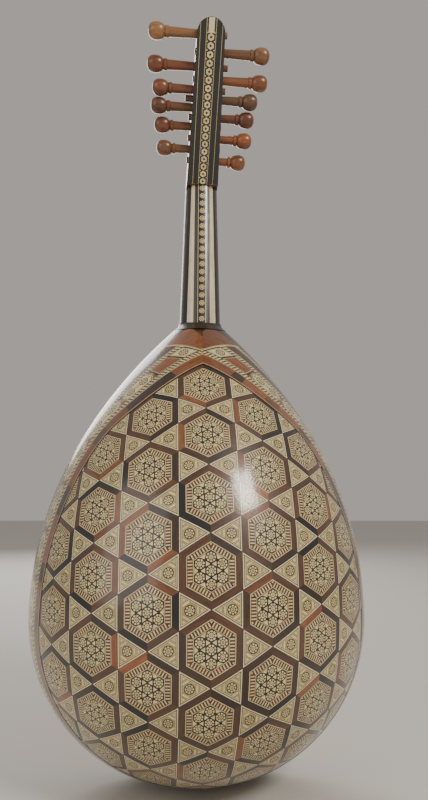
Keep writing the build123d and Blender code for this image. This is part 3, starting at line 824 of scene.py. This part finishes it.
def panel(p, start, stop, low, high):
    """A long six-sided panel of pale chips with two rosettes, cream-edged."""
    middle = (low + high) / 2
    point = (high - low) * 0.42

    def outline(inset):
        left, right = start + point + 0.3 * inset, stop - point - 0.3 * inset
        return [(start + inset * 1.2, middle), (left, low + inset), (right, low + inset),
                (stop - inset * 1.2, middle), (right, high - inset), (left, high - inset)]

    for inset, tone in ((0.0, "dark"), (0.25, "ivory"), (1.05, "dark"), (1.4, "cream")):
        p.add(outline(inset), tone)
    radius = (high - low) / 2 - 2.6
    count = max(1, int((stop - start - 2 * point + 5) / (2 * radius + 1.6)))
    gap = (stop - start - point) / count
    for k in range(count):
        x = start + point / 2 + (k + 0.5) * gap
        p.rosette(x, middle, radius, math.pi / 8, "olive")
        for side in (-1, 1):
            near, far = x + side * radius * 1.06, x + side * gap * 0.5
            edge = far - side * 0.4
            p.add([(near, middle), (edge, middle - 2.6), (edge, middle + 2.6)], "dark")
            p.add([(near + side * 0.9, middle), (far - side * 0.7, middle - 2.6 + 0.6),
                   (far - side * 0.7, middle + 2.6 - 0.6)], "olive")


def spandrel(p, x, low, high, up):
    """A brown triangle between two panels, with a pale dotted edge."""
    middle = (low + high) / 2
    half = (high - low) * 0.42
    base = low if up else high
    tip = middle - 0.1 if up else middle + 0.1
    lift = 1 if up else -1
    p.add([(x - half, base), (x + half, base), (x, tip)], "cream")
    for inset, rise, drop, tone in ((1.5, 0.35, 0.9, "dark"), (2.1, 0.6, 1.4, "orange")):
        foot = base + lift * rise
        p.add([(x - half + inset, foot), (x + half - inset, foot), (x, tip - lift * drop)], tone)


def border_lines(p, start, stop, wood_joint):
    """The strips that run along the whole border."""
    strip(p, start, stop, -1.5, RIM_REACH, "dark")
    strip(p, start, stop, 0.6, 1.5, "blush")
    strip(p, start, wood_joint, 2.0, 13.4, "wood_a")
    strip(p, wood_joint + 0.3, stop, 2.0, 13.4, "wood_b")
    strip(p, start, stop, 13.9, 14.7, "cream")
    for low, high in ROPE_BANDS:
        rope(p, start, stop, low, high)
    strip(p, start, stop, 46.1, 46.9, "cream")
    strip(p, start, stop, 47.5, 61.0, "brown")
    strip(p, start, stop, 61.5, 62.3, "cream")
    rope(p, start, stop, 62.8, 67.4)
    strip(p, start, stop, 67.9, 68.7, "cream")
    strip(p, start, stop, 69.2, RIM_REACH, "walnut")


def border_pattern(length):
    """One repeat: a panel and the spandrels at its ends."""
    p = Pattern()
    border_lines(p, 0.0, length, length * 0.62)
    strip(p, 0.0, length, PANEL_LOW, PANEL_HIGH, "walnut")
    gap = 2.4
    panel(p, gap / 2, length - gap / 2, PANEL_LOW + 0.1, PANEL_HIGH - 0.1)
    for x, part in ((0.0, 1), (length, -1)):
        for up in (True, False):
            q = Pattern()
            spandrel(q, x, PANEL_LOW + 0.1, PANEL_HIGH - 0.1, up)
            for points, tone, grain in q.chips:
                p.add(clipped(points, -part, 0, -part * x), tone, grain)
    return p


def apex_pattern(start, length):
    """The first stretch, from the mitre: the big triangle, a rhombus panel and a brown segment."""
    p = Pattern()
    border_lines(p, start, length, length * 0.7)
    strip(p, start, length, PANEL_LOW, PANEL_HIGH, "walnut")
    low, high = PANEL_LOW + 0.2, PANEL_HIGH - 0.2
    lean = (high - low) * 0.55
    # the middle triangle's half, cut by the mitre
    for inset, tone in ((0.0, "cream"), (0.8, "dark"), (1.2, "cream"), (1.7, "orange")):
        p.add([(start, low + inset), (APEX_SIDE - inset, low + inset), (APEX_SIDE + 25.0 - inset * 1.6, 70.0),
               (start, 70.0)], tone)
    near, far = APEX_SIDE + 1.8, APEX_SIDE + 19.8
    rhombus = [(near, low), (far, low), (far + lean, high), (near + lean, high)]
    centre = (sum(x for x, _ in rhombus) / 4, sum(y for _, y in rhombus) / 4)

    def shrunk(share):
        return [(centre[0] + (x - centre[0]) * share, centre[1] + (y - centre[1]) * share)
                for x, y in rhombus]

    for share, tone in ((1.0, "dark"), (0.95, "ivory"), (0.84, "dark"), (0.79, "cream")):
        p.add(shrunk(share), tone)
    p.rosette(centre[0], centre[1], 5.6, 0.2, "olive")
    for inset, tone in ((0.0, "cream"), (0.7, "dark"), (1.1, "orange")):
        p.add([(far + 3.0 + inset * 1.3, low + inset), (length - 4.0 - inset, low + inset),
               (length - 1.0 - inset * 1.3, high - inset),
               (far + 3.0 + lean + inset * 0.6, high - inset)], tone)
    return p


APEX_START = -28.0  # the mitre cuts it off
APEX_LENGTH = 48.0
PANEL_PITCH = 50.0
APEX_THICKNESS = 0.9
BORDER_THICKNESS = 0.27


def with_woods(pattern, woods):
    return [(points, woods.get(tone, tone), grain) for points, tone, grain in pattern.chips]


def border_pieces():
    """Both sides' borders: the mitred stretch at the apex, then panels down to the foot."""
    first = APEX_LENGTH
    mitre_low = np.array([3.1, 0.0, 447.0])
    mitre_up = np.array([-3.1, 0.0, 53.0])
    mitre_up /= np.linalg.norm(mitre_up)
    collar_point = (0.0, 0.0, BODY_LENGTH - COLLAR_BOTTOM - 0.2)
    collar_normal = (0.0, math.sin(JOINT_TILT), math.cos(JOINT_TILT))
    chooser = random.Random(23)
    woods = ("orange", "brown", "orange", "walnut", "brown", "orange")
    for side, label in ((1, "right"), (-1, "left")):
        border = BORDERS[side]
        outward = np.array([mitre_up[2], 0.0, -mitre_up[0]]) * (1 if side == 1 else -1)
        # side 1 is the -X side, so everything towards +X of the mitre is cut away
        rim = ((0.0, 0.25, 0.0), (0.0, -1.0, 0.0))
        collar = (collar_point, collar_normal)
        mitre = (tuple(mitre_low), tuple(outward))
        pattern = apex_pattern(APEX_START, first)
        chips = with_woods(pattern, {"wood_a": "orange", "wood_b": "walnut"})
        lay(f"border_{label}_00", pattern.cut(4.0), chips, border.place, APEX_THICKNESS, "rim_band",
            900 + side, None, (rim, collar, mitre))
        count = round((border.length - first) / PANEL_PITCH)
        length = (border.length - first) / count
        pattern = border_pattern(length)
        cut = pattern.cut(4.0)
        for number in range(count):
            start = first + number * length
            names = {"wood_a": chooser.choice(woods), "wood_b": chooser.choice(woods)}
            chips = with_woods(pattern, names)

            def place(flat, depth, start=start):
                return border.place(flat + np.array([start, 0.0]), depth)

            planes = (rim, collar) if number < 4 else (rim,)
            lay(f"border_{label}_{number + 1:02d}", cut, chips, place, BORDER_THICKNESS, "rim_band",
                1000 + 50 * side + number, None, planes)


field_pieces()
border_pieces()


# ---------------------------------------------------------------- neck and pegbox

NECK_LINE = (4.5, 5.2)  # the cream line at each side of the neck's mosaic
NECK_MOTIF_PITCH = 9.5
NECK_VENEER = 0.9
INLAY_THICKNESS = 0.6
INLAY_LINES = ((5.1, 5.6), (12.1, 12.5))
INLAY_MOTIF_PITCH = 8.6
INLAY_CUT = 684.73  # lower end, where the pegbox meets the nut
TIP_CENTRE = 171.45
TIP_RADIUS = 15.55
CAP_HALF_WIDTH = 3.2
CAP_LENGTH = 15.0


def node_heights(node):
    low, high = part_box(node)
    return low[2] / MM, high[2] / MM


def neck_place(flat, depth):
    """Flat points are X round the cone of the neck and height."""
    share = (flat[:, 1] - BODY_LENGTH) / NECK_LENGTH
    radius = NECK_RADII[0] + (NECK_RADII[1] - NECK_RADII[0]) * share
    angle = flat[:, 0] / radius
    normals = np.column_stack([np.sin(angle), np.cos(angle), np.zeros(len(flat))])
    points = normals * (radius - depth)[:, None]
    points[:, 2] = flat[:, 1]
    return points, normals


def neck_piece():
    low, high = node_heights("neck_mosaic")
    p = Pattern()
    edge = NECK_LINE[1] + 0.1
    p.add([(-edge, low), (edge, low), (edge, high), (-edge, high)], "dark")
    for side in (-1, 1):
        inner, outer = sorted((side * NECK_LINE[0], side * NECK_LINE[1]))
        p.add([(inner, low), (outer, low), (outer, high), (inner, high)], "cream")
    count = int((high - low) / NECK_MOTIF_PITCH)
    for number in range(count):
        middle = low + (number + 0.5) * (high - low) / count
        p.rosette(0.0, middle, 4.1, 0.0 if number % 2 else 0.5)
    lay("neck_mosaic_strip", p.cut(), p.chips, neck_place, NECK_VENEER, "neck_mosaic", 71)


def inlay_place(flat, depth):
    """Flat points are X and the distance along the pegbox's bent back."""
    along = flat[:, 1]
    rise = PEGBOX_BACK[0] + (PEGBOX_BACK[1] - PEGBOX_BACK[0]) * along / PEGBOX_LENGTH - depth
    c, s = math.cos(PEGBOX_TILT), math.sin(PEGBOX_TILT)
    points = np.column_stack([flat[:, 0], rise * c + along * s, NUT_LINE + along * c - rise * s])
    return points, np.tile((0.0, c, -s), (len(flat), 1))


def inlay_piece():
    p = Pattern()
    start = -5.0
    tip = [(TIP_RADIUS * math.cos(a), TIP_CENTRE + TIP_RADIUS * math.sin(a))
           for a in np.linspace(0, math.pi, 17)]
    p.add([(-PEGBOX_HALF_WIDTH[0], start), (PEGBOX_HALF_WIDTH[0], start)] + tip, "ebony")
    for low, high in INLAY_LINES:
        end = TIP_CENTRE + math.sqrt(TIP_RADIUS ** 2 - high ** 2) - 0.2
        for side in (-1, 1):
            inner, outer = sorted((side * low, side * high))
            p.add([(inner, start), (outer, start), (outer, end), (inner, end)], "cream")
    middle = 4.0
    while middle < TIP_CENTRE - 4.0:
        p.add(polygon((0.0, middle), 3.9, 6, math.pi / 2), "cream")
        p.add(polygon((0.0, middle), 1.7, 4), "dark")
        for side in (-1, 1):
            p.add(polygon((side * 4.0, middle + INLAY_MOTIF_PITCH / 2), 0.9, 4), "cream")
        middle += INLAY_MOTIF_PITCH
    strip(p, -CAP_HALF_WIDTH, CAP_HALF_WIDTH, TIP_CENTRE, TIP_CENTRE + CAP_LENGTH, "ivory")
    cut = ((0.0, 0.0, INLAY_CUT), (0.0, 0.0, -1.0))
    lay("pegbox_inlay_strip", p.cut(), p.chips, inlay_place, INLAY_THICKNESS, "pegbox_inlay", 72,
        planes=(cut,))


neck_piece()
inlay_piece()

# ---------------------------------------------------------------- materials of the plain pieces


def string_material(name, colour, metallic, roughness):
    n = Nodes(name)
    place = n.add("ShaderNodeTexCoord").outputs["Object"]
    turns = n.texture("ShaderNodeTexNoise", n.mapping(place, (900.0, 900.0, 2500.0)), Scale=1.0, Detail=1.0)
    darker = tuple(0.7 * value for value in colour)
    n.link(n.ramp(turns.outputs["Fac"], (0.35, darker), (0.65, colour)), n.shader.inputs["Base Color"])
    n.shader.inputs["Metallic"].default_value = metallic
    n.gloss(roughness)
    return n.material


def dress(material, *names):
    """Gives CAD pieces their material, on the object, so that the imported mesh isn't changed."""
    for name in names:
        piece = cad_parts[name]
        if not piece.material_slots:
            piece.data.materials.append(None)
        for slot in piece.material_slots:
            slot.link = "OBJECT"
            slot.material = material


def numbered(stem, count):
    return [f"{stem}_{number}" for number in range(1, count + 1)]


WALNUT = wood_material("walnut", srgb(44, 28, 21), srgb(86, 56, 38), coat=0.5)
EBONY = wood_material("ebony", srgb(16, 13, 12), srgb(36, 29, 26), coat=0.6, roughness=0.35)
SPRUCE = wood_material("spruce", srgb(196, 152, 96), srgb(222, 184, 128), pores=0.18, figure=0.3)
MAHOGANY = wood_material("mahogany", srgb(86, 44, 28), srgb(128, 72, 44))
DARK_TRIM = wood_material("dark_trim", srgb(30, 22, 18), srgb(62, 46, 36), coat=0.4, mottled=(0.6, 0.55, 0.5))
BONE = bone_material("bone", srgb(232, 222, 192), srgb(204, 184, 140))
WOUND = string_material("wound_string", srgb(190, 176, 150), 0.9, 0.35)
NYLON = string_material("nylon", srgb(226, 214, 190), 0.0, 0.3)

dress(WALNUT, *numbered("bowl_rib", 9), "bridge", "main_rosette", "small_rosettes", "neck_edge_mosaic")
dress(MAHOGANY, "neck_core", "neck_block", "foot_block", "pegbox_heel", "pegbox_back")
dress(SPRUCE, "soundboard", "rim_linings", *numbered("brace", 7))
dress(EBONY, "neck_ebony", "fingerboard", "pickguard", "edge_binding", "cheek_left", "cheek_right")
dress(DARK_TRIM, "collar", "sound_hole_rings")
dress(BONE, "neck_bone", "nut", "pegbox_cap")
dress(NYLON, *numbered("string_course", 3))
dress(WOUND, "string_course_4", "string_course_5", "string_course_6")

PEG_WOODS = {
    "peg_left_1": (146, 96, 60), "peg_left_2": (132, 76, 48), "peg_left_3": (124, 78, 50),
    "peg_left_4": (136, 80, 50), "peg_left_5": (132, 74, 46), "peg_left_6": (178, 124, 78),
    "peg_right_1": (152, 92, 54), "peg_right_2": (158, 90, 50), "peg_right_3": (136, 76, 48),
    "peg_right_4": (120, 84, 58), "peg_right_5": (150, 90, 52), "peg_right_6": (160, 108, 66),
}
for name, wood in PEG_WOODS.items():
    dark = srgb(*(0.72 * value for value in wood))
    dress(wood_material(name + "_wood", dark, srgb(*wood), axis="X", roughness=0.35, coat=0.4), name)

# ---------------------------------------------------------------- camera, light and floor


# the camera comes from a fit of the object's outline to the view that it has to match
CAMERA_PLACE = (0.0623288, 0.7579083, 0.3091462)
CAMERA_TURN = (-0.14190442, -0.10561344, 0.0125632)  # from level, looking along -Y: axis times angle
CAMERA_LENS = 28.569195
FLOOR_REACH = 6.0
FLOOR_DROP = 0.0006


def add_camera():
    """Stands behind the oud, a little above its middle and to the +X side."""
    base = Matrix(((-1, 0, 0), (0, 0, -1), (0, -1, 0)))
    turn = Vector(CAMERA_TURN)
    view = Matrix.Rotation(turn.length, 3, turn.normalized()) @ base
    camera = bpy.data.cameras.new("camera")
    camera.sensor_width = 36.0
    camera.lens = CAMERA_LENS
    camera.clip_start = 0.01
    holder = bpy.data.objects.new("camera", camera)
    bpy.context.scene.collection.objects.link(holder)
    axes = Matrix((view[0], -view[1], -view[2])).transposed()
    holder.matrix_world = Matrix.Translation(CAMERA_PLACE) @ axes.to_4x4()
    bpy.context.scene.camera = holder


def add_light(name, place, target, size, power, colour):
    data = bpy.data.lights.new(name, "AREA")
    data.shape = "RECTANGLE"
    data.size, data.size_y = size
    data.energy = power
    data.color = colour
    lamp = bpy.data.objects.new(name, data)
    lamp.location = place
    lamp.rotation_euler = (Vector(target) - Vector(place)).to_track_quat("-Z", "Y").to_euler()
    bpy.context.scene.collection.objects.link(lamp)


add_camera()
add_light("key", (-1.0, 1.5, 1.6), (0, 0.1, 0.3), (0.5, 0.5), 26.0, (1.0, 0.93, 0.84))
add_light("fill", (1.6, 1.4, 0.9), (0, 0.1, 0.3), (1.6, 1.6), 12.0, (1.0, 0.95, 0.88))
add_light("front", (0.4, -2.0, 1.5), (0, 0, 0.35), (1.6, 1.6), 34.0, (1.0, 0.98, 0.95))

world = bpy.data.worlds.new("room")
bpy.context.scene.world = world
world.use_nodes = True
world.node_tree.nodes["Background"].inputs["Color"].default_value = (0.66, 0.62, 0.575, 1.0)
world.node_tree.nodes["Background"].inputs["Strength"].default_value = 0.62

floor_mesh = bpy.data.meshes.new("floor")
corners = [(-FLOOR_REACH, -FLOOR_REACH), (FLOOR_REACH, -FLOOR_REACH),
           (FLOOR_REACH, FLOOR_REACH), (-FLOOR_REACH, FLOOR_REACH)]
floor_mesh.from_pydata([(x, y, -FLOOR_DROP) for x, y in corners], [], [(0, 1, 2, 3)])
floor = bpy.data.objects.new("floor", floor_mesh)
bpy.context.scene.collection.objects.link(floor)
n = Nodes("floor")
n.shader.inputs["Base Color"].default_value = (0.62, 0.60, 0.57, 1.0)
n.gloss(0.85, specular=0.2)
floor_mesh.materials.append(n.material)
